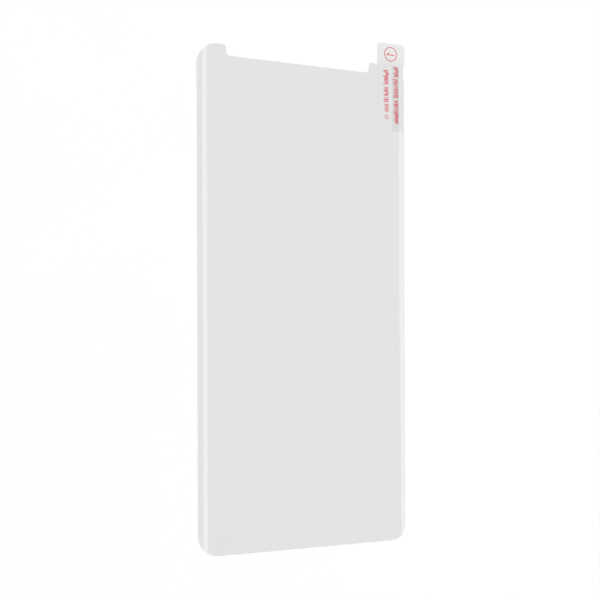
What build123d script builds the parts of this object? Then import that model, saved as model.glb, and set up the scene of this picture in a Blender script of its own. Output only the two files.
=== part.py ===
from build123d import *
import math
import os

# A clear phone screen protector, as it comes out of its box: a thin sheet with both long edges bent back
# to wrap a curved screen, the release liner on its sticky hollow side, and the pull tab that takes the
# liner off. It lies hollow side down, on the rims of its bent edges. X runs across the sheet, Y along it
# towards the notched top edge and Z up. The origin is on the resting surface, under the middle of the whole
# outline. Sizes are in mm.

# Clear sheet, its plan measured over both bent edges
sheet_length = 146.0
sheet_width = 68.0
sheet_thickness = 0.2
corner_radius = 5.6

# Bent long edges: radius of the outer face, and how far the edge turns down
bend_radius = 3.4
bend_angle = 52.0

# Notch for the earpiece and sensors, with an ear left on each side of it
left_ear = 8.6
right_ear = 13.1
notch_depth = 3.1
notch_mouth_radius = 0.9
notch_root_radius = 1.2

# Release liner under the sheet
liner_thickness = 0.1

# Pull tab under the liner: a flat strip beside the right bend, a margin that follows the bend, and a free
# end whose margin springs back to a gentler bend
tab_thickness = 0.1
tab_length = 27.0
tab_overhang = 6.7
tab_flat_width = 7.4
tab_rim_angle = 6.0
tab_free_angle = 20.0
tab_relax_length = 2.5
tab_corner_radius = 1.0

# Blanks and outlines stand this far past the faces that they trim
trim = 0.01

# The lowest line of the stack, the inner edge of the liner's rim, lies at Z = 0
stack_thickness = sheet_thickness + liner_thickness
bend_x = sheet_width / 2 - bend_radius * math.sin(math.radians(bend_angle))
bend_z = -(bend_radius - stack_thickness) * math.cos(math.radians(bend_angle))
height = bend_z + bend_radius

# The tab's free end makes the outline longer, so the sheet sits off the origin along Y
sheet_y = -tab_overhang / 2
top_y = sheet_y + sheet_length / 2
notch_left = left_ear - sheet_width / 2
notch_right = sheet_width / 2 - right_ear

# The tab's margin ends short of the rim, and is as wide along its free end as along the bend
tab_end = top_y + tab_overhang
tab_wrap = bend_angle - tab_rim_angle
tab_radius = bend_radius - stack_thickness
tab_free_radius = tab_radius * tab_wrap / tab_free_angle
tab_left = bend_x - tab_flat_width
tab_right = bend_x + tab_free_radius * math.sin(math.radians(tab_free_angle))

# The margin starts to spring back where the liner's rounded corner bares the start of the bend
corner_reach = max(bend_x - (sheet_width / 2 - corner_radius), 0)
tab_relax_y = top_y - corner_radius + math.sqrt(corner_radius**2 - corner_reach**2)
tab_relaxed_y = tab_relax_y + tab_relax_length

os.makedirs("parts", exist_ok=True)


def sheet_section(depth, thickness):
    """Section across a full-width layer whose upper face lies depth under the sheet's outer face."""
    upper = bend_radius - depth
    lower = upper - thickness
    with BuildSketch(Plane.XZ.offset(-sheet_y)) as section:
        with BuildLine():
            Line((-bend_x, bend_z + upper), (bend_x, bend_z + upper))
            Line((-bend_x, bend_z + lower), (bend_x, bend_z + lower))
            upper_arc = CenterArc((bend_x, bend_z), upper, 90, -bend_angle)
            lower_arc = CenterArc((bend_x, bend_z), lower, 90, -bend_angle)
            rim = Line(upper_arc @ 1, lower_arc @ 1)
            mirror([upper_arc, lower_arc, rim], about=Plane.YZ)
        make_face()
    return section.sketch


def sheet_outline():
    """Plan of the sheet and the liner: rounded corners, straight sides and a notch in the top edge."""
    with BuildSketch(Plane.XY.offset(-trim)) as outline:
        with Locations((0, sheet_y)):
            Rectangle(sheet_width + 2 * trim, sheet_length)
        fillet(outline.vertices(), corner_radius)
        with Locations(((notch_left + notch_right) / 2, top_y)):
            Rectangle(notch_right - notch_left, 2 * notch_depth, mode=Mode.SUBTRACT)
        notch = outline.vertices().filter_by_position(Axis.X, notch_left - trim, notch_right + trim)
        fillet(notch.group_by(Axis.Y)[-1], notch_mouth_radius)
        notch = outline.vertices().filter_by_position(Axis.X, notch_left - trim, notch_right + trim)
        fillet(notch.group_by(Axis.Y)[0], notch_root_radius)
    return outline.sketch


def tab_section(y, radius, wrap):
    """Section across the tab at y: flat, then a margin turned down by wrap at this radius."""
    center = (bend_x, height - stack_thickness - radius)
    left = (tab_left, height - stack_thickness)
    with BuildSketch(Plane.XZ.offset(-y)) as section:
        with BuildLine():
            upper_flat = Line(left, (bend_x, left[1]))
            lower_flat = Line((tab_left, left[1] - tab_thickness), (bend_x, left[1] - tab_thickness))
            upper_arc = CenterArc(center, radius, 90, -wrap)
            lower_arc = CenterArc(center, radius - tab_thickness, 90, -wrap)
            Line(upper_flat @ 0, lower_flat @ 0)
            Line(upper_arc @ 1, lower_arc @ 1)
        make_face()
    return section.sketch


def tab_outline():
    """Plan of the tab: square at the stuck end, with rounded corners at the free end."""
    with BuildSketch(Plane.XY.offset(-trim)) as outline:
        with Locations(((tab_left + tab_right) / 2, tab_end - tab_length / 2)):
            Rectangle(tab_right - tab_left + 2 * trim, tab_length)
        fillet(outline.vertices().group_by(Axis.Y)[-1], tab_corner_radius)
    return outline.sketch


with BuildPart() as protector_film:
    extrude(sheet_section(0, sheet_thickness), amount=sheet_length / 2 + trim, both=True)
    extrude(sheet_outline(), amount=height + 2 * trim, mode=Mode.INTERSECT)
protector_film.part.label = "protector_film"
export_step(protector_film.part, "parts/protector_film.step")

with BuildPart() as release_liner:
    extrude(sheet_section(sheet_thickness, liner_thickness), amount=sheet_length / 2 + trim, both=True)
    extrude(sheet_outline(), amount=height + 2 * trim, mode=Mode.INTERSECT)
release_liner.part.label = "release_liner"
export_step(release_liner.part, "parts/release_liner.step")

bent_tab = tab_section(tab_relax_y, tab_radius, tab_wrap)
relaxed_tab = tab_section(tab_relaxed_y, tab_free_radius, tab_free_angle)
with BuildPart() as pull_tab:
    extrude(bent_tab, amount=tab_relax_y - tab_end + tab_length + trim)
    loft([bent_tab, relaxed_tab], ruled=True)
    extrude(relaxed_tab, amount=tab_relaxed_y - tab_end - trim)
    extrude(tab_outline(), amount=height + 2 * trim, mode=Mode.INTERSECT)
pull_tab.part.label = "pull_tab"
export_step(pull_tab.part, "parts/pull_tab.step")
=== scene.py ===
# %% [markdown]
# A clear screen protector for a phone with curved sides, as it comes out of its box.
# Three thin layers are stuck together: the protective sheet, the release liner that covers its sticky
# hollow side, and a printed pull tab that takes the liner off. All of them are bent back along the
# sheet's long sides.
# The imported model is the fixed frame. Places come from its boxes, in metres, and nothing in it is moved.

# %% Load the frame and keep its box
import math

import bmesh
import bpy
from mathutils import Matrix, Vector


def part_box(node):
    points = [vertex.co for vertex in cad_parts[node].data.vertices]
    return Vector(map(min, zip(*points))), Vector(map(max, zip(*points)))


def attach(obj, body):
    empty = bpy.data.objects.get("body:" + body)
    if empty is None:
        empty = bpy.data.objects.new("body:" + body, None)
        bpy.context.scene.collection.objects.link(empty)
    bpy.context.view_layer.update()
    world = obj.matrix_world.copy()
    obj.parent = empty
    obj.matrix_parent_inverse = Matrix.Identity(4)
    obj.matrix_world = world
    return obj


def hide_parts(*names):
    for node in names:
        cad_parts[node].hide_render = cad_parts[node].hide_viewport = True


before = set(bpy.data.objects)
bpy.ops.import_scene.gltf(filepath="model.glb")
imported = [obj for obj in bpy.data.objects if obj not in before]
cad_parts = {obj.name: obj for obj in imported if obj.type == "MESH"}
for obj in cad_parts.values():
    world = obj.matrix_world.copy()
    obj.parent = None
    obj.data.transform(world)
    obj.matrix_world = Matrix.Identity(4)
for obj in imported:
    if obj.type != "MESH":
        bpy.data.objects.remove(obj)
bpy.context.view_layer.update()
MM = 0.001
film_low, film_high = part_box("protector_film")
liner_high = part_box("release_liner")[1]
tab_low, tab_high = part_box("pull_tab")
print("nodes in the frame:", ", ".join(sorted(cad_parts)))

# %% [markdown]
# The photograph shows the sheet upright and turned a little. The real sheet can't stand, so here it lies
# on its bent rims, and the camera looks down on it from the left side instead.
# A fit of the sheet's straight edges gave the camera: how far it is turned, its distance, its lens and
# how far the picture is shifted. Solving for a camera is steadier than moving one by eye until the edges
# agree.

# %% Camera at the photograph's viewing angle
PICTURE_PIXELS = 600
CAMERA_TURN = math.radians(24.675)
CAMERA_ROLL = math.radians(-0.181)
CAMERA_DISTANCE = 307.18 * MM
CAMERA_FOCAL_PIXELS = 1041.5
CAMERA_SHIFT_PIXELS = 48.0
CAMERA_CLIP_START = 10 * MM
SENSOR_WIDTH = 36.0
AIM_X = -2.51 * MM
AIM_Y = -13.79 * MM

sheet_middle = (film_low.y + film_high.y) / 2
aim = Vector((AIM_X, sheet_middle + AIM_Y, film_high.z))
back = Vector((-math.sin(CAMERA_TURN), 0.0, math.cos(CAMERA_TURN)))
level = Vector((math.cos(CAMERA_TURN), 0.0, math.sin(CAMERA_TURN)))
upright = back.cross(level)
right = math.cos(CAMERA_ROLL) * level + math.sin(CAMERA_ROLL) * upright
up = math.cos(CAMERA_ROLL) * upright - math.sin(CAMERA_ROLL) * level

camera_data = bpy.data.cameras.new("camera")
camera_data.sensor_width = SENSOR_WIDTH
camera_data.lens = CAMERA_FOCAL_PIXELS / PICTURE_PIXELS * SENSOR_WIDTH
camera_data.shift_y = CAMERA_SHIFT_PIXELS / PICTURE_PIXELS
camera_data.clip_start = CAMERA_CLIP_START
camera = bpy.data.objects.new("camera", camera_data)
turned = Matrix((right, up, back)).transposed().to_4x4()
camera.matrix_world = Matrix.Translation(aim + CAMERA_DISTANCE * back) @ turned
bpy.context.scene.collection.objects.link(camera)
bpy.context.scene.camera = camera
print("camera at", [round(v / MM, 1) for v in camera.matrix_world.translation], "mm")

# %% [markdown]
# All three layers share one bend. Seen along the sheet, each long side is an arc about the same centre
# line, and a deeper layer only has a smaller radius. So the bend is worked out once, from the sheet's
# box, and each layer's radius and thickness follow from the height of its own upper face.
# A hair of room is left between layers, because two faces in one plane flicker where light passes both.

# %% The bend that the layers share
BEND_RADIUS = 3.4 * MM
BEND_ANGLE = math.radians(52.0)
TAB_ANGLE = math.radians(46.0)
TAB_THICKNESS = 0.1 * MM
LAYER_GAP = 0.01 * MM

bend_start = film_high.x - BEND_RADIUS * math.sin(BEND_ANGLE)
bend_height = film_high.z - BEND_RADIUS
liner_radius = liner_high.z - bend_height
tab_radius = tab_high.z - bend_height
film_thickness = film_high.z - liner_high.z
liner_thickness = liner_high.z - tab_high.z
print("bend starts at", round(bend_start / MM, 3), "mm; layers", round(film_thickness / MM, 3),
      round(liner_thickness / MM, 3), round(TAB_THICKNESS / MM, 3), "mm thick")

# %% [markdown]
# A real sheet is cut from flat film and bent afterwards, so each layer starts here as a flat blank too.
# The outline could be one big face, but a face can't bend. So it is cut into narrow columns that run
# along the sheet: close together where the bend is, and wherever the outline is round.
# The outline is known as it looks after bending. A point past the start of the bend lies further out on
# the blank, by the difference between the arc and its shadow.

# %% Places of the columns
ANGLE_STEP = math.radians(2.0)
CLOSEST_COLUMNS = 0.002 * MM


def arc_share(radius, along):
    """How far a quarter arc of this radius has risen, at a distance along from its centre."""
    return math.sqrt(max(radius * radius - along * along, 0.0))


def bend_columns(radius, angle):
    """Places across the layer where its bend is divided, from the flat to the rim."""
    steps = round(angle / ANGLE_STEP)
    return [bend_start + radius * math.sin(angle * step / steps) for step in range(steps + 1)]


def arc_columns(start, radius, steps):
    """Places across a quarter arc that starts level and goes on by radius, which may be negative."""
    return [start + radius * math.sin(math.pi / 2 * step / steps) for step in range(steps + 1)]


def without_doubles(places):
    """The places in order, without those that nearly repeat the one before."""
    kept = []
    for place in sorted(places):
        if not kept or place - kept[-1] > CLOSEST_COLUMNS:
            kept.append(place)
    return kept


print("the sheet's bend is divided into", len(bend_columns(BEND_RADIUS, BEND_ANGLE)) - 1, "columns")

# %% Flat blanks in columns


def onto_blank(x, radius):
    """Place of x on the flat blank, before an edge of this radius is bent."""
    past = max(abs(x) - bend_start, 0.0)
    return math.copysign(abs(x) - past + radius * math.asin(past / radius), x)


def used_heads(heads, reach):
    """The upper points that a column uses: on the low side of a wall, only the wall's foot."""
    low_side = reach < sum(head.co.y for head in heads) / len(heads)
    return heads[:1] if low_side else heads


def blank_of_columns(name, columns, foot, heads, radius, levels=()):
    """A flat mesh of columns. foot(x) is the lower edge, heads(x) lists the upper points at x, lowest
    first, and every column is divided at the levels."""
    blank = bmesh.new()
    sides = []
    for x in columns:
        heights = [foot(x), *levels, *heads(x)]
        sides.append([blank.verts.new((onto_blank(x, radius), y, 0.0)) for y in heights])
    top = len(levels)
    for x, next_x, near, far in zip(columns, columns[1:], sides, sides[1:]):
        for step in range(top):
            blank.faces.new((near[step], far[step], far[step + 1], near[step + 1]))
        reach = heads((x + next_x) / 2)[-1]
        near_heads = used_heads(near[top + 1:], reach)
        far_heads = used_heads(far[top + 1:], reach)
        blank.faces.new([near[top], far[top], *far_heads, *reversed(near_heads)])
    mesh = bpy.data.meshes.new(name + "_blank")
    blank.to_mesh(mesh)
    blank.free()
    print(name, "blank:", len(columns), "column sides,", len(mesh.polygons), "faces")
    return mesh


print("laid flat, the sheet is", round(2 * onto_blank(film_high.x, BEND_RADIUS) / MM, 2), "mm wide")

# %% [markdown]
# The sheet has four rounded corners and a wide shallow notch in its top edge, for the earpiece and
# sensors. The liner is cut to the same outline, only narrower by what its smaller bend takes off.
# A column side on a notch wall has two upper points, the foot and the head of the wall.

# %% Outline of the sheet and the liner
CORNER_RADIUS = 5.6 * MM
LEFT_EAR = 8.6 * MM
RIGHT_EAR = 13.1 * MM
NOTCH_DEPTH = 3.1 * MM
MOUTH_RADIUS = 0.9 * MM
ROOT_RADIUS = 1.2 * MM

notch_left = film_low.x + LEFT_EAR
notch_right = film_high.x - RIGHT_EAR
notch_floor = film_high.y - NOTCH_DEPTH


def corner_drop(x, half_width):
    """How much a rounded corner takes off the end of the sheet at x."""
    into = max(abs(x) - (half_width - CORNER_RADIUS), 0.0)
    return CORNER_RADIUS - arc_share(CORNER_RADIUS, into)


def sheet_heads(x, half_width):
    """Upper points of the sheet at x: one, or the foot and the head of a notch wall."""
    into_notch = min(x - notch_left, notch_right - x)
    mouth = film_high.y - MOUTH_RADIUS + arc_share(MOUTH_RADIUS, MOUTH_RADIUS + into_notch)
    root = notch_floor + ROOT_RADIUS - arc_share(ROOT_RADIUS, ROOT_RADIUS - into_notch)
    if abs(into_notch) < CLOSEST_COLUMNS / 2:
        return [root, mouth]
    if into_notch > ROOT_RADIUS:
        return [notch_floor]
    if into_notch > 0:
        return [root]
    if into_notch > -MOUTH_RADIUS:
        return [mouth]
    return [film_high.y - corner_drop(x, half_width)]


print("notch from", round(notch_left / MM, 2), "to", round(notch_right / MM, 2), "mm")

# %% Flat blanks of the sheet and the liner
FLAT_SUPPORT = 0.15 * MM
CORNER_STEPS = 14
NOTCH_STEPS = 6


def sheet_blank(name, radius):
    """Flat blank of a full-width layer whose upper face has this bend radius."""
    half_width = bend_start + radius * math.sin(BEND_ANGLE)
    side = bend_columns(radius, BEND_ANGLE) + [bend_start - FLAT_SUPPORT]
    side += arc_columns(half_width - CORNER_RADIUS, CORNER_RADIUS, CORNER_STEPS)
    columns = side + [-x for x in side]
    for wall, inward in ((notch_left, 1), (notch_right, -1)):
        columns += [wall]
        columns += arc_columns(wall - inward * MOUTH_RADIUS, inward * MOUTH_RADIUS, NOTCH_STEPS)
        columns += arc_columns(wall + inward * ROOT_RADIUS, -inward * ROOT_RADIUS, NOTCH_STEPS)
    return blank_of_columns(name, without_doubles(columns),
                            lambda x: film_low.y + corner_drop(x, half_width),
                            lambda x: sheet_heads(x, half_width), radius)


film_blank = sheet_blank("protector_film", BEND_RADIUS)
liner_blank = sheet_blank("release_liner", liner_radius)

# %% [markdown]
# The tab is a strip of label, square where it is stuck and rounded at its free end. Its right margin
# follows the bend only as far as the liner holds it. Past the liner's rounded corner it springs back to
# a gentler bend, over a few millimetres, so the columns are divided there to let the bend open step by
# step.

# %% Flat blank of the pull tab
TAB_CORNER_RADIUS = 1.0 * MM
TAB_CORNER_STEPS = 8
SPRING_LENGTH = 2.5 * MM
SPRING_STEPS = 10

corner_reach = bend_start - (film_high.x - CORNER_RADIUS)
spring_from = film_high.y - CORNER_RADIUS + arc_share(CORNER_RADIUS, corner_reach)
spring_to = spring_from + SPRING_LENGTH
tab_rim = bend_start + tab_radius * math.sin(TAB_ANGLE)


def tab_head(x):
    """Upper point of the tab at x, with the rounded corners of its free end as they lie on the blank."""
    place = onto_blank(x, tab_radius)
    from_side = min(place - tab_low.x, onto_blank(tab_rim, tab_radius) - place)
    into_corner = max(TAB_CORNER_RADIUS - from_side, 0.0)
    return [tab_high.y - TAB_CORNER_RADIUS + arc_share(TAB_CORNER_RADIUS, into_corner)]


tab_columns = bend_columns(tab_radius, TAB_ANGLE) + [bend_start - FLAT_SUPPORT]
tab_columns += arc_columns(tab_low.x + TAB_CORNER_RADIUS, -TAB_CORNER_RADIUS, TAB_CORNER_STEPS)
spring_levels = [spring_from + SPRING_LENGTH * step / SPRING_STEPS for step in range(SPRING_STEPS + 1)]
tab_blank = blank_of_columns("pull_tab", without_doubles(tab_columns), lambda x: tab_low.y, tab_head,
                             tab_radius, spring_levels)
print("the tab springs back from", round(spring_from / MM, 2), "to", round(spring_to / MM, 2), "mm")

# %% [markdown]
# Node trees are mostly drawn by hand in Blender's editor. In a script every node, value and link takes a
# line of its own, and the idea drowns in the wiring. So a few helpers do the wiring: one for a step of
# maths, one for any node with its inputs given by name, one for an even ramp, and one that starts a tree.

# %% Helpers for building node trees


def maths(tree, operation, *operands):
    """A Math node on numbers or sockets, and its result."""
    step = tree.nodes.new("ShaderNodeMath")
    step.operation = operation
    for place, operand in enumerate(operands):
        if isinstance(operand, (int, float)):
            step.inputs[place].default_value = operand
        else:
            tree.links.new(operand, step.inputs[place])
    return step.outputs[0]


def add_node(tree, kind, **feeds):
    """A node with its inputs fed by name, from sockets or plain values."""
    made = tree.nodes.new(kind)
    for name, feed in feeds.items():
        into = made.inputs[name.replace("_", " ")]
        if isinstance(feed, bpy.types.NodeSocket):
            tree.links.new(feed, into)
        else:
            into.default_value = feed
    return made


def ramp_over(tree, value, low, high):
    """0 where value is low, 1 where it is high, and even between."""
    ramp = add_node(tree, "ShaderNodeMapRange", Value=value, From_Min=low, From_Max=high)
    return ramp.outputs["Result"]


def new_tree(name, inputs):
    """A Geometry Nodes tree with these named inputs, and its input and output sockets."""
    tree = bpy.data.node_groups.new(name, "GeometryNodeTree")
    for label, kind in inputs:
        tree.interface.new_socket(label, in_out="INPUT", socket_type="NodeSocket" + kind)
    tree.interface.new_socket("Layer", in_out="OUTPUT", socket_type="NodeSocketGeometry")
    return tree, tree.nodes.new("NodeGroupInput").outputs, tree.nodes.new("NodeGroupOutput").inputs


# %% [markdown]
# The real sheet is formed over a hot block, and the liner and the tab follow it. The same is done here by
# one rule in Geometry Nodes: a point past the start of the bend turns by its distance over the radius,
# and goes to that angle on the arc. Where a layer springs back, only a share of the turn is kept, at a
# radius that grows to match.
# A Simple Deform modifier could bend one side after the other, but it knows nothing of radii and layers.

# %% Where a point of the blank goes
BEND_INPUTS = [("Blank", "Geometry"), ("Bend start", "Float"), ("Bend height", "Float"),
               ("Upper radius", "Float"), ("Thickness", "Float"), ("Spring back", "Float"),
               ("Spring from", "Float"), ("Spring to", "Float"), ("Finish", "Material")]


def bent_places(tree, given):
    """Places of a blank's point on the upper and on the lower face of the bent layer."""
    position = tree.nodes.new("GeometryNodeInputPosition").outputs[0]
    place = add_node(tree, "ShaderNodeSeparateXYZ", Vector=position)
    side = maths(tree, "SIGN", place.outputs["X"])
    reach = maths(tree, "ABSOLUTE", place.outputs["X"])
    flat = maths(tree, "MINIMUM", reach, given["Bend start"])
    free = ramp_over(tree, place.outputs["Y"], given["Spring from"], given["Spring to"])
    kept = maths(tree, "SUBTRACT", 1.0, maths(tree, "MULTIPLY", given["Spring back"], free))
    radius = maths(tree, "DIVIDE", given["Upper radius"], kept)
    turn = maths(tree, "DIVIDE", maths(tree, "SUBTRACT", reach, flat), radius)
    upper_height = maths(tree, "ADD", given["Bend height"], given["Upper radius"])
    center_height = maths(tree, "SUBTRACT", upper_height, radius)

    def on_the_arc(arc_radius):
        out = maths(tree, "MULTIPLY_ADD", arc_radius, maths(tree, "SINE", turn), flat)
        rise = maths(tree, "MULTIPLY_ADD", arc_radius, maths(tree, "COSINE", turn), center_height)
        across = maths(tree, "MULTIPLY", side, out)
        return add_node(tree, "ShaderNodeCombineXYZ", X=across, Y=place.outputs["Y"], Z=rise).outputs[0]

    return on_the_arc(radius), on_the_arc(maths(tree, "SUBTRACT", radius, given["Thickness"]))


print("the bending rule takes:", ", ".join(label for label, _ in BEND_INPUTS))

# %% [markdown]
# A layer has two faces and an edge all round, so the rule needs more than the blank. The blank is extruded
# by nothing: its new top goes to the upper face and its foot to the lower one, which opens the walls
# between them, and a turned copy of the blank closes the layer from below.
# The walls are marked on the way, because a cut edge looks frosted later.

# %% The bending rule
SHARP_TURN = math.radians(35.0)
WELD_REACH = 0.001 * MM


def closed_layer(tree, given):
    """The blank as a closed layer, bent, with its cut edges marked."""
    upper, lower = bent_places(tree, given)
    raised = add_node(tree, "GeometryNodeExtrudeMesh", Mesh=given["Blank"], Offset_Scale=0.0,
                      Individual=False)
    top = raised.outputs["Top"]
    foot = add_node(tree, "FunctionNodeBooleanMath", Boolean=top)
    foot.operation = "NOT"
    edges = add_node(tree, "GeometryNodeStoreNamedAttribute", Geometry=raised.outputs["Mesh"],
                     Name="cut_edge", Value=raised.outputs["Side"])
    edges.data_type = "FLOAT"
    edges.domain = "FACE"
    upper_face = add_node(tree, "GeometryNodeSetPosition", Geometry=edges.outputs[0], Selection=top,
                          Position=upper)
    walls = add_node(tree, "GeometryNodeSetPosition", Geometry=upper_face.outputs[0],
                     Selection=foot.outputs[0], Position=lower)
    turned_blank = add_node(tree, "GeometryNodeFlipFaces", Mesh=given["Blank"])
    lower_face = add_node(tree, "GeometryNodeSetPosition", Geometry=turned_blank.outputs[0],
                          Position=lower)
    joined = tree.nodes.new("GeometryNodeJoinGeometry")
    tree.links.new(walls.outputs[0], joined.inputs[0])
    tree.links.new(lower_face.outputs[0], joined.inputs[0])
    return add_node(tree, "GeometryNodeMergeByDistance", Geometry=joined.outputs[0],
                    Distance=WELD_REACH).outputs[0]


def bent_layer_tree():
    """Bends a flat blank round both long sides, gives it thickness, and shades its real edges sharp."""
    tree, given, made = new_tree("bent_layer", BEND_INPUTS)
    smooth = add_node(tree, "GeometryNodeSetShadeSmooth", Geometry=closed_layer(tree, given),
                      Shade_Smooth=True)
    edge_angle = tree.nodes.new("GeometryNodeInputMeshEdgeAngle").outputs[0]
    crisp = add_node(tree, "GeometryNodeSetShadeSmooth", Geometry=smooth.outputs[0],
                     Selection=maths(tree, "GREATER_THAN", edge_angle, SHARP_TURN), Shade_Smooth=False)
    crisp.domain = "EDGE"
    whole = add_node(tree, "GeometryNodeRealizeInstances", Geometry=crisp.outputs[0])
    finished = add_node(tree, "GeometryNodeSetMaterial", Geometry=whole.outputs[0],
                        Material=given["Finish"])
    tree.links.new(finished.outputs[0], made[0])
    return tree


bent_layer = bent_layer_tree()
print("bending rule:", len(bent_layer.nodes), "nodes")

# %% [markdown]
# Rolled film is never perfectly even: it has a faint slow ripple and a light haze, and where it is cut
# its edge is rough. All three layers are such film, so this is one shader group, placed in each finish
# with its own values. Separate noise in every finish would do too, but one group keeps the layers alike.

# %% Ripple and haze of rolled film, shared by the three layers
HAZE_GRAIN = 160.0


def film_surface_group():
    """Shader group: slow ripple height and fine haze over a rolled film, and the frost of its cut edges."""
    group = bpy.data.node_groups.new("film_surface", "ShaderNodeTree")
    for label, kind in (("Place", "Vector"), ("Cut edge", "Float"), ("Ripple size", "Float"),
                        ("Clear roughness", "Float"), ("Haze", "Float"), ("Edge roughness", "Float")):
        group.interface.new_socket(label, in_out="INPUT", socket_type="NodeSocket" + kind)
    for label in ("Ripple", "Roughness"):
        group.interface.new_socket(label, in_out="OUTPUT", socket_type="NodeSocketFloat")
    given = group.nodes.new("NodeGroupInput").outputs
    made = group.nodes.new("NodeGroupOutput").inputs
    ripple = add_node(group, "ShaderNodeTexNoise", Vector=given["Place"], Detail=1.0, Roughness=0.4,
                      Scale=maths(group, "DIVIDE", 1.0, given["Ripple size"]))
    cloud = add_node(group, "ShaderNodeTexNoise", Vector=given["Place"], Scale=HAZE_GRAIN, Detail=4.0,
                     Roughness=0.6)
    haze = maths(group, "MULTIPLY_ADD", cloud.outputs["Fac"], given["Haze"], given["Clear roughness"])
    frost = maths(group, "MULTIPLY", given["Cut edge"], given["Edge roughness"])
    group.links.new(ripple.outputs["Fac"], made["Ripple"])
    group.links.new(maths(group, "MAXIMUM", haze, frost), made["Roughness"])
    return group


film_surface = film_surface_group()
print("shared group:", film_surface.name)

# %% [markdown]
# The sheet and the liner are clear polyester, so what shows is what their surfaces mirror and the little
# light that they take. A glass shader would bend the light through each layer and leave noise and dark
# shadows, while a real layer is far too thin to bend it visibly.
# So each face lets the light straight through, a little dimmed, and mirrors the share that Fresnel's law
# gives, on its outer side only. The cut edges scatter some light.

# %% Clear film finish
FILM_INDEX = 1.5
FILM_CLEAR = 0.9462
FULL_SHINE = 1.0
EDGE_ROUGHNESS = 0.45
EDGE_FROST = 0.08


def film_surface_in(tree, edge, ripple_size, roughness, haze):
    """The shared film surface, placed in one finish with its own values."""
    surface = tree.nodes.new("ShaderNodeGroup")
    surface.node_tree = film_surface
    tree.links.new(tree.nodes.new("ShaderNodeTexCoord").outputs["Object"], surface.inputs["Place"])
    tree.links.new(edge, surface.inputs["Cut edge"])
    for label, value in (("Ripple size", ripple_size), ("Clear roughness", roughness), ("Haze", haze),
                         ("Edge roughness", EDGE_ROUGHNESS)):
        surface.inputs[label].default_value = value
    return surface.outputs


def clear_layer(name, see_through, ripple_size, ripple_height, roughness, haze):
    """A clear film: dims what is behind it, and mirrors on its outer side. Also gives its tree, and the
    sockets for what it lets through and for how much of its shine it keeps."""
    finish = bpy.data.materials.new(name)
    finish.use_nodes = True
    tree = finish.node_tree
    tree.nodes.clear()
    edge = tree.nodes.new("ShaderNodeAttribute")
    edge.attribute_name = "cut_edge"
    surface = film_surface_in(tree, edge.outputs["Fac"], ripple_size, roughness, haze)
    bump = add_node(tree, "ShaderNodeBump", Height=surface["Ripple"], Strength=1.0,
                    Distance=ripple_height)
    gloss = add_node(tree, "ShaderNodeBsdfPrincipled", Metallic=1.0, Normal=bump.outputs[0],
                     Roughness=surface["Roughness"], Base_Color=(1.0, 1.0, 1.0, 1.0))
    clear = add_node(tree, "ShaderNodeBsdfTransparent",
                     Color=(see_through, see_through, see_through, 1.0))
    fresnel = add_node(tree, "ShaderNodeFresnel", IOR=FILM_INDEX, Normal=bump.outputs[0])
    front = maths(tree, "SUBTRACT", 1.0, tree.nodes.new("ShaderNodeNewGeometry").outputs["Backfacing"])
    outside = maths(tree, "MULTIPLY", fresnel.outputs[0], front)
    mirrored = maths(tree, "MULTIPLY", outside, FULL_SHINE)
    frost = maths(tree, "MULTIPLY", edge.outputs["Fac"], EDGE_FROST)
    mix = tree.nodes.new("ShaderNodeMixShader")
    tree.links.new(maths(tree, "MAXIMUM", mirrored, frost), mix.inputs[0])
    tree.links.new(clear.outputs[0], mix.inputs[1])
    tree.links.new(gloss.outputs[0], mix.inputs[2])
    add_node(tree, "ShaderNodeOutputMaterial", Surface=mix.outputs[0])
    return finish, tree, clear.inputs["Color"], mirrored.node.inputs[1]


film_finish = clear_layer("clear_gloss_film", FILM_CLEAR, ripple_size=14 * MM,
                          ripple_height=0.004 * MM, roughness=0.02, haze=0.02)[0]
liner_finish = clear_layer("clear_liner_film", FILM_CLEAR, ripple_size=9 * MM,
                           ripple_height=0.005 * MM, roughness=0.02, haze=0.03)[0]
print("finishes:", film_finish.name, liner_finish.name)

# %% [markdown]
# The tab is matt label film, and it doesn't look the same all over. Its free end mirrors a little, and it
# is made darker towards the sheet's top edge. Below that edge it is stuck to the liner: there its surfaces
# vanish, the adhesive along its right part takes more light, most where it is pressed round the bend, and
# thin lines of trapped air run down its two edges.
# Separate pieces for these zones would show seams, so they are masks, worked out from the place on the
# tab.

# %% Zones of the tab label
ADHESIVE_LEFT = 29.0 * MM
AIR_LINE = 0.55 * MM
ZONE_BLUR = 0.12 * MM
ADHESIVE_LOSS = 0.047
BEND_LOSS = 0.016
AIR_LINE_LOSS = 0.012
RIM_LINE_LOSS = 0.035


def past_sheet_edge(tree, x, y):
    """How far a place on the tab lies past the sheet's top edge and its rounded corner."""
    into_corner = maths(tree, "MAXIMUM", maths(tree, "SUBTRACT", x, film_high.x - CORNER_RADIUS), 0.0)
    into_square = maths(tree, "MULTIPLY", into_corner, into_corner)
    rise = maths(tree, "SQRT", maths(tree, "SUBTRACT", CORNER_RADIUS ** 2, into_square))
    edge = maths(tree, "ADD", rise, film_high.y - CORNER_RADIUS)
    return maths(tree, "SUBTRACT", y, edge)


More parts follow.
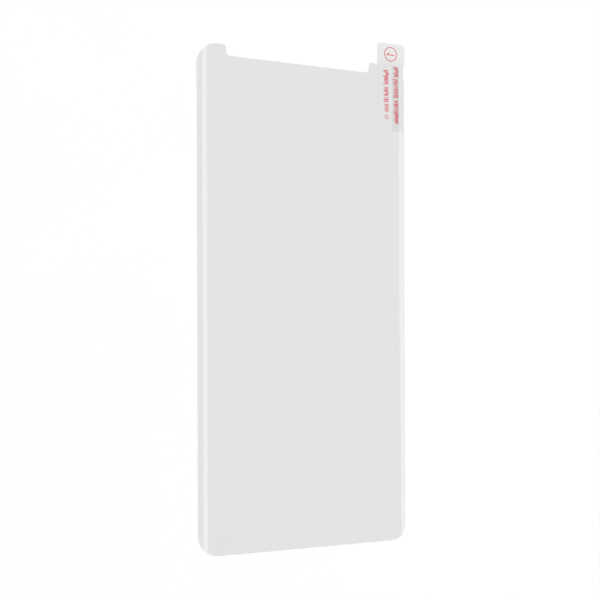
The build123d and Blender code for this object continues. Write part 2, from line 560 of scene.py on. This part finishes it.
def stuck_loss(tree, x):
    """Light that the stuck part takes: adhesive, more of it round the bend, and the air lines."""
    adhesive = ramp_over(tree, x, ADHESIVE_LEFT - ZONE_BLUR, ADHESIVE_LEFT + ZONE_BLUR)
    thick = ramp_over(tree, x, bend_start - AIR_LINE, bend_start)
    left_line = ramp_over(tree, x, tab_low.x + AIR_LINE, tab_low.x + AIR_LINE / 2)
    rim_line = ramp_over(tree, x, tab_rim - AIR_LINE, tab_rim - AIR_LINE / 2)
    loss = maths(tree, "MULTIPLY", thick, BEND_LOSS)
    for zone, share in ((rim_line, RIM_LINE_LOSS), (left_line, AIR_LINE_LOSS),
                        (adhesive, ADHESIVE_LOSS)):
        loss = maths(tree, "MULTIPLY_ADD", zone, share, loss)
    return loss


print("the tab's adhesive lies from", round(ADHESIVE_LEFT / MM, 1), "to", round(tab_rim / MM, 1), "mm")

# %% Tab label finish
LABEL_ROUGHNESS = 0.32
LABEL_HAZE = 0.1
# The free end lets less light through towards the sheet's top edge, over this reach, and so looks darker
# there.
EDGE_DARKENING_REACH = 3.0 * MM
STUCK_CLEAR = 0.996
FREE_LOSS = 0.095
EDGE_DARKENING_LOSS = 0.03
FREE_SHINE = 0.3


def tab_label_finish():
    """Matt label film with a free end, adhesive along its right part and air lines along its edges."""
    finish, tree, see_through, shine = clear_layer(
        "pale_tab_label", STUCK_CLEAR, ripple_size=5 * MM, ripple_height=0.004 * MM,
        roughness=LABEL_ROUGHNESS, haze=LABEL_HAZE)
    place = add_node(tree, "ShaderNodeSeparateXYZ",
                     Vector=tree.nodes.new("ShaderNodeTexCoord").outputs["Object"])
    past_edge = past_sheet_edge(tree, place.outputs["X"], place.outputs["Y"])
    free = ramp_over(tree, past_edge, 0.0, ZONE_BLUR)
    stuck = maths(tree, "SUBTRACT", 1.0, free)
    # The free end grows darker towards the sheet's top edge.
    margin = ramp_over(tree, place.outputs["Y"], film_high.y + EDGE_DARKENING_REACH, film_high.y)
    free_loss = maths(tree, "MULTIPLY_ADD", margin, EDGE_DARKENING_LOSS, FREE_LOSS)
    loss = maths(tree, "MULTIPLY_ADD", stuck, stuck_loss(tree, place.outputs["X"]),
                 maths(tree, "MULTIPLY", free, free_loss))
    tree.links.new(maths(tree, "SUBTRACT", STUCK_CLEAR, loss), see_through)
    tree.links.new(maths(tree, "MULTIPLY", free, FREE_SHINE), shine)
    return finish


tab_finish = tab_label_finish()
print("tab finish:", len(tab_finish.node_tree.nodes), "nodes")

# %% [markdown]
# The print is a pale red ink on the tab's lower side, read through the sheet and so seen from its back.
# It lies on unevenly, so a fine noise moves its colour and its gloss.

# %% Red print ink
INK_DARK = (0.83, 0.10, 0.125, 1.0)
INK_PALE = (0.95, 0.17, 0.205, 1.0)
INK_GRAIN = 1600.0
INK_ROUGHNESS = 0.45
INK_ROUGHNESS_SPREAD = 0.2


def red_ink():
    """Pale red printing ink with uneven cover."""
    finish = bpy.data.materials.new("red_print_ink")
    finish.use_nodes = True
    tree = finish.node_tree
    shader = tree.nodes["Principled BSDF"]
    place = tree.nodes.new("ShaderNodeTexCoord").outputs["Object"]
    grain = add_node(tree, "ShaderNodeTexNoise", Vector=place, Scale=INK_GRAIN, Detail=3.0)
    cover = add_node(tree, "ShaderNodeValToRGB", Fac=grain.outputs["Fac"])
    cover.color_ramp.elements[0].color = INK_DARK
    cover.color_ramp.elements[1].color = INK_PALE
    tree.links.new(cover.outputs["Color"], shader.inputs["Base Color"])
    roughness = maths(tree, "MULTIPLY_ADD", grain.outputs["Fac"], INK_ROUGHNESS_SPREAD, INK_ROUGHNESS)
    tree.links.new(roughness, shader.inputs["Roughness"])
    return finish


ink_finish = red_ink()
print("ink finish:", ink_finish.name)

# %% [markdown]
# Now the blanks are bent. Each piece gets the bending rule once, with its own radius and thickness, and
# keeps the result as a plain mesh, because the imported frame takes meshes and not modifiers.
# Sheet and liner keep their whole bend. The tab's free end keeps less than half of it.

# %% Helpers for making pieces


def apply_nodes(piece, tree, values):
    """Gives a piece the result of a Geometry Nodes tree as its own plain mesh."""
    nodes = piece.modifiers.new("made_by", "NODES")
    nodes.node_group = tree
    for socket in tree.interface.items_tree:
        if socket.in_out == "INPUT" and socket.name in values:
            nodes[socket.identifier] = values[socket.name]
    depsgraph = bpy.context.evaluated_depsgraph_get()
    mesh = bpy.data.meshes.new_from_object(piece.evaluated_get(depsgraph), depsgraph=depsgraph)
    piece.modifiers.clear()
    blank = piece.data
    piece.data = mesh
    mesh.name = piece.name
    bpy.data.meshes.remove(blank)


def make_piece(name, blank, tree, values):
    """A piece made from its blank by a tree, with its size printed."""
    piece = bpy.data.objects.new(name, blank)
    bpy.context.scene.collection.objects.link(piece)
    apply_nodes(piece, tree, values)
    low = [round(min(v.co[axis] for v in piece.data.vertices) / MM, 3) for axis in range(3)]
    high = [round(max(v.co[axis] for v in piece.data.vertices) / MM, 3) for axis in range(3)]
    print(name, len(piece.data.polygons), "faces, from", low, "to", high)
    return piece


def bend_values(radius, thickness, finish, spring_back=0.0):
    """Inputs of the bending rule for one layer."""
    return {"Bend start": bend_start, "Bend height": bend_height, "Upper radius": radius,
            "Thickness": thickness, "Spring back": spring_back, "Spring from": spring_from,
            "Spring to": spring_to, "Finish": finish}


# %% Make the layers
FREE_END_ANGLE = math.radians(20.0)

tab_spring = 1.0 - FREE_END_ANGLE / TAB_ANGLE
film_values = bend_values(BEND_RADIUS, film_thickness - LAYER_GAP, film_finish)
liner_values = bend_values(liner_radius, liner_thickness - LAYER_GAP, liner_finish)
tab_values = bend_values(tab_radius, TAB_THICKNESS - 2 * LAYER_GAP, tab_finish, tab_spring)
film = make_piece("clear_sheet", film_blank, bent_layer, film_values)
liner = make_piece("liner_sheet", liner_blank, bent_layer, liner_values)
tab = make_piece("tab_label", tab_blank, bent_layer, tab_values)

# %% [markdown]
# The print on the tab: a ringed numeral 1 on its free end, for the first layer to peel, and two columns of
# small marks with a small ring below one of them. The rings and the numeral are flat outlines, and the
# bending rule lays them under the tab. A texture could draw them, but it would blur close up.

# %% Rings and numeral
RING_X, RING_Y = 28.66 * MM, 73.16 * MM
RING_RADIUS = 2.24 * MM
RING_STROKE = 0.27 * MM
SMALL_RING_X, SMALL_RING_Y = 27.24 * MM, 53.7 * MM
SMALL_RING_RADIUS = 0.64 * MM
SMALL_RING_STROKE = 0.2 * MM
RING_SIDES = 72
NUMERAL = [(-1.45, -0.34), (1.35, -0.42), (1.35, -0.08), (-0.9, -0.04), (-0.4, 0.37), (-0.56, 0.61),
           (-1.45, -0.06)]
INK_THICKNESS = 0.01 * MM


def add_ring(blank, x, y, radius, stroke):
    """A flat ring of quads, centred at x and y."""
    turns = [math.tau * side / RING_SIDES for side in range(RING_SIDES)]
    rounds = []
    for reach in (radius - stroke, radius):
        points = [(x + reach * math.cos(turn), y + reach * math.sin(turn), 0.0) for turn in turns]
        rounds.append([blank.verts.new(point) for point in points])
    inner, outer = rounds
    for side in range(RING_SIDES):
        after = (side + 1) % RING_SIDES
        blank.faces.new((inner[side], outer[side], outer[after], inner[after]))


def numeral_blank():
    """Flat blank of the ringed numeral and the small ring."""
    blank = bmesh.new()
    add_ring(blank, RING_X, RING_Y, RING_RADIUS, RING_STROKE)
    add_ring(blank, SMALL_RING_X, SMALL_RING_Y, SMALL_RING_RADIUS, SMALL_RING_STROKE)
    points = [(RING_X + along * MM, RING_Y + across * MM, 0.0) for along, across in NUMERAL]
    blank.faces.new([blank.verts.new(point) for point in points])
    mesh = bpy.data.meshes.new("tab_numeral_blank")
    blank.to_mesh(mesh)
    blank.free()
    return mesh


ink_radius = tab_radius - TAB_THICKNESS + LAYER_GAP
ink_values = bend_values(ink_radius, INK_THICKNESS, ink_finish, tab_spring)
numeral = make_piece("tab_numeral", numeral_blank(), bent_layer, ink_values)

# %% [markdown]
# The two columns are plain short strokes in groups, and spell nothing. Modelling each stroke by hand would
# take long and look stiff, so each group starts as one guide line down the tab.
# A second tree walks along the guides and puts a stroke at each step, which stands near the guide and has
# a random height and width, from a fixed seed. It ends in the bending rule, so the strokes lie on the
# bend as the tab does.

# %% Guide lines for the marks
LEFT_GUIDE = 28.05 * MM
RIGHT_GUIDE = 31.52 * MM
LEFT_GROUPS = [(68.2, 63.65, 1.85), (62.95, 60.3, 1.75), (59.85, 58.25, 1.95), (57.75, 55.35, 1.75)]
RIGHT_GROUPS = [(69.4, 66.25, 1.65), (65.65, 59.85, 2.05), (59.1, 51.95, 1.8)]
MARK_STROKE = 0.42 * MM


def guide_lines():
    """One guide line for each group of marks, from top to bottom, with the height of its strokes."""
    ends, lines, heights = [], [], []
    for x, groups in ((LEFT_GUIDE, LEFT_GROUPS), (RIGHT_GUIDE, RIGHT_GROUPS)):
        for top, bottom, height in groups:
            lines.append((len(ends), len(ends) + 1))
            ends += [(x, top * MM - MARK_STROKE / 2, 0.0), (x, bottom * MM + MARK_STROKE / 2, 0.0)]
            heights += [height * MM, height * MM]
    mesh = bpy.data.meshes.new("tab_marks_blank")
    mesh.from_pydata(ends, lines, [])
    mesh.attributes.new("height", "FLOAT", "POINT").data.foreach_set("value", heights)
    return mesh


mark_guides = guide_lines()
print("guide lines:", len(mark_guides.edges))

# %% Random sizes of the strokes
MARK_INPUTS = [("Guides", "Geometry"), ("Pitch", "Float"), ("Stroke", "Float"), ("Shortest", "Float"),
               ("Thinnest", "Float"), ("Steadiness", "Float"), ("Seed", "Int")] + BEND_INPUTS[1:]


def share_up_to_one(tree, lowest, seed):
    """A random share between lowest and 1 for each stroke."""
    chance = tree.nodes.new("FunctionNodeRandomValue")
    for name, value in (("Min", lowest), ("Seed", seed)):
        tree.links.new(value, [s for s in chance.inputs if s.name == name and s.enabled][0])
    return [s for s in chance.outputs if s.enabled][0]


def stroke_sizes(tree, given):
    """Height and width of each stroke, and how far its middle stands beside the guide."""
    tallest = add_node(tree, "GeometryNodeInputNamedAttribute", Name="height").outputs[0]
    seeds = [maths(tree, "ADD", given["Seed"], float(step)) for step in range(3)]
    tall = share_up_to_one(tree, given["Shortest"], seeds[0])
    wide = share_up_to_one(tree, given["Thinnest"], seeds[1])
    steady = share_up_to_one(tree, given["Steadiness"], seeds[2])
    height = maths(tree, "MULTIPLY", tallest, tall)
    width = maths(tree, "MULTIPLY", given["Stroke"], wide)
    slip = maths(tree, "MULTIPLY", tallest, maths(tree, "SUBTRACT", steady, 1.0))
    return height, width, maths(tree, "MULTIPLY_ADD", height, -0.5, slip)


print("the marks take:", ", ".join(label for label, _ in MARK_INPUTS[:-len(BEND_INPUTS) + 1]))

# %% Strokes on the guides


def marks_tree():
    """Short strokes that stand on guide lines, bent with the tab."""
    tree, given, made = new_tree("column_marks", MARK_INPUTS)
    height, width, aside = stroke_sizes(tree, given)
    guide = add_node(tree, "GeometryNodeMeshToCurve", Mesh=given["Guides"])
    steps = add_node(tree, "GeometryNodeResampleCurve", Curve=guide.outputs[0])
    steps.mode = "LENGTH"
    tree.links.new(given["Pitch"], steps.inputs["Length"])
    beside = add_node(tree, "ShaderNodeCombineXYZ", X=aside)
    places = add_node(tree, "GeometryNodeSetPosition", Geometry=steps.outputs[0],
                      Offset=beside.outputs[0])
    stroke = add_node(tree, "GeometryNodeMeshGrid", Size_X=1.0, Size_Y=1.0, Vertices_X=2, Vertices_Y=2)
    size = add_node(tree, "ShaderNodeCombineXYZ", X=height, Y=width, Z=1.0)
    strokes = add_node(tree, "GeometryNodeInstanceOnPoints", Points=places.outputs[0],
                       Instance=stroke.outputs[0], Scale=size.outputs[0])
    flat = add_node(tree, "GeometryNodeRealizeInstances", Geometry=strokes.outputs[0])
    bend = tree.nodes.new("GeometryNodeGroup")
    bend.node_tree = bent_layer
    tree.links.new(flat.outputs[0], bend.inputs["Blank"])
    for label, _ in BEND_INPUTS[1:]:
        tree.links.new(given[label], bend.inputs[label])
    whole = add_node(tree, "GeometryNodeRealizeInstances", Geometry=bend.outputs[0])
    inked = add_node(tree, "GeometryNodeSetMaterial", Geometry=whole.outputs[0],
                     Material=given["Finish"])
    tree.links.new(inked.outputs[0], made[0])
    return tree


column_marks = marks_tree()
print("marks tree:", len(column_marks.nodes), "nodes")

# %% Columns of small marks
MARK_PITCH = 0.45 * MM
SHORTEST_MARK = 0.6
THINNEST_MARK = 0.6
STEADIEST_FOOT = 0.8
MARK_SEED = 7

mark_values = {"Pitch": MARK_PITCH, "Stroke": MARK_STROKE, "Shortest": SHORTEST_MARK,
               "Thinnest": THINNEST_MARK, "Steadiness": STEADIEST_FOOT, "Seed": MARK_SEED,
               **ink_values}
marks = make_piece("tab_marks", mark_guides, column_marks, mark_values)

# %% [markdown]
# The photograph is plain white around the sheet, so the sheet lies on a wide matt white table, a hair
# below its rims. A faint mottle keeps the white from being dead even.
# In the photograph the sheet throws no shadow. Here it lies right on the white, so its pieces are told not
# to shade the table, and all the light that they take is taken from the view.

# %% Floor
FLOOR_SIZE = 6.0
FLOOR_DROP = 0.02 * MM
FLOOR_WHITE = (0.97, 0.97, 0.97, 1.0)
FLOOR_SHADE = (0.95, 0.95, 0.95, 1.0)
FLOOR_ROUGHNESS = 0.9
MOTTLE_GRAIN = 30.0


def floor_finish():
    """Matt white with a faint mottle."""
    finish = bpy.data.materials.new("matt_white_table")
    finish.use_nodes = True
    tree = finish.node_tree
    shader = tree.nodes["Principled BSDF"]
    place = tree.nodes.new("ShaderNodeTexCoord").outputs["Object"]
    mottle = add_node(tree, "ShaderNodeTexNoise", Vector=place, Scale=MOTTLE_GRAIN, Detail=3.0)
    shade = add_node(tree, "ShaderNodeValToRGB", Fac=mottle.outputs["Fac"])
    shade.color_ramp.elements[0].color = FLOOR_SHADE
    shade.color_ramp.elements[1].color = FLOOR_WHITE
    tree.links.new(shade.outputs["Color"], shader.inputs["Base Color"])
    shader.inputs["Roughness"].default_value = FLOOR_ROUGHNESS
    shader.inputs["Specular IOR Level"].default_value = 0.0
    return finish


half = FLOOR_SIZE / 2
floor_corners = [(-half, -half, 0.0), (half, -half, 0.0), (half, half, 0.0), (-half, half, 0.0)]
floor_mesh = bpy.data.meshes.new("floor")
floor_mesh.from_pydata(floor_corners, [], [(0, 1, 2, 3)])
floor_mesh.materials.append(floor_finish())
floor = bpy.data.objects.new("floor", floor_mesh)
floor.location.z = -FLOOR_DROP
bpy.context.scene.collection.objects.link(floor)
for piece in (film, liner, tab, numeral, marks):
    piece.visible_shadow = False
    piece.visible_diffuse = False
print("floor", FLOOR_SIZE, "m wide")

# %% [markdown]
# A clear sheet shows its lights more than itself. The flat of the sheet mirrors a strip of room between
# two lights and so looks evenly grey. The left bend mirrors a panel overhead as one light band, with a
# grey side left of it. The right bend mirrors a folding screen of two panels that stand on the table: one
# runs along the sheet, and one swings away, so the band starts at the bend near the top and further out
# near the bottom.
# The panels' edges were worked out from where the bands begin in the photograph.

# %% Lights
PANEL_HEIGHT = 1.3
PANEL_LEFT, PANEL_RIGHT = -0.63, 0.41
PANEL_LENGTH = 4.4
PANEL_BRIGHTNESS = 1.3
SCREEN_HEIGHT = 1.7
SCREEN_CORNERS = (1.0, 1.5), (1.03, 0.09), (2.64, -1.1)
SCREEN_BRIGHTNESS = 1.12


def light_panel(name, place, turn, size, brightness):
    """An evenly lit rectangle. Its brightness is per area, so a larger panel doesn't look brighter."""
    data = bpy.data.lights.new(name, "AREA")
    data.shape = "RECTANGLE"
    data.size, data.size_y = size
    data.energy = brightness * math.pi * size[0] * size[1]
    panel = bpy.data.objects.new(name, data)
    panel.location = place
    panel.rotation_euler = turn
    panel.visible_camera = False
    bpy.context.scene.collection.objects.link(panel)
    print(name, [round(side, 2) for side in size], "m at", [round(v, 2) for v in place])


light_panel("overhead_panel", ((PANEL_LEFT + PANEL_RIGHT) / 2, 0.0, PANEL_HEIGHT), (0.0, 0.0, 0.0),
            (PANEL_RIGHT - PANEL_LEFT, PANEL_LENGTH), PANEL_BRIGHTNESS)
for number, (near, far) in enumerate(zip(SCREEN_CORNERS, SCREEN_CORNERS[1:]), 1):
    run_x, run_y = far[0] - near[0], far[1] - near[1]
    middle = ((near[0] + far[0]) / 2, (near[1] + far[1]) / 2, SCREEN_HEIGHT / 2)
    facing = (math.pi / 2, 0.0, math.pi + math.atan2(run_y, run_x))
    light_panel("screen_panel_" + str(number), middle, facing,
                (math.hypot(run_x, run_y), SCREEN_HEIGHT), SCREEN_BRIGHTNESS)

# %% [markdown]
# The rest of the room is an even grey, a good deal darker than the panels, so that the bands stand out.
# The photograph's white is plain white and its greys are neutral, so the picture is shown without a film
# curve. Seen from a low side, light passes the clear layers more than once, so it is let through more
# faces than the usual eight.

# %% Room and view
ROOM_LIGHT = 0.45
MOST_CLEAR_FACES = 32

world = bpy.data.worlds.new("studio")
world.use_nodes = True
room = world.node_tree.nodes["Background"]
room.inputs["Color"].default_value = (1.0, 1.0, 1.0, 1.0)
room.inputs["Strength"].default_value = ROOM_LIGHT
bpy.context.scene.world = world
bpy.context.scene.view_settings.view_transform = "Standard"
bpy.context.scene.cycles.transparent_max_bounces = MOST_CLEAR_FACES
print("room light", ROOM_LIGHT, "and at most", MOST_CLEAR_FACES, "clear faces")

# %% [markdown]
# Each layer takes the place of its node in the imported model, which is hidden. The print is ink on the
# tab. Nothing on a screen protector moves, so all pieces ride on the root.

# %% Fit to the frame
for piece, node, slot in ((film, "protector_film", "clear_film"), (liner, "release_liner", "clear_liner"),
                          (tab, "pull_tab", "tab_label")):
    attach(piece, "root")
    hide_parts(node)
for piece in (numeral, marks):
    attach(piece, "root")
print("pieces on the root:", film.name, liner.name, tab.name, numeral.name, marks.name)
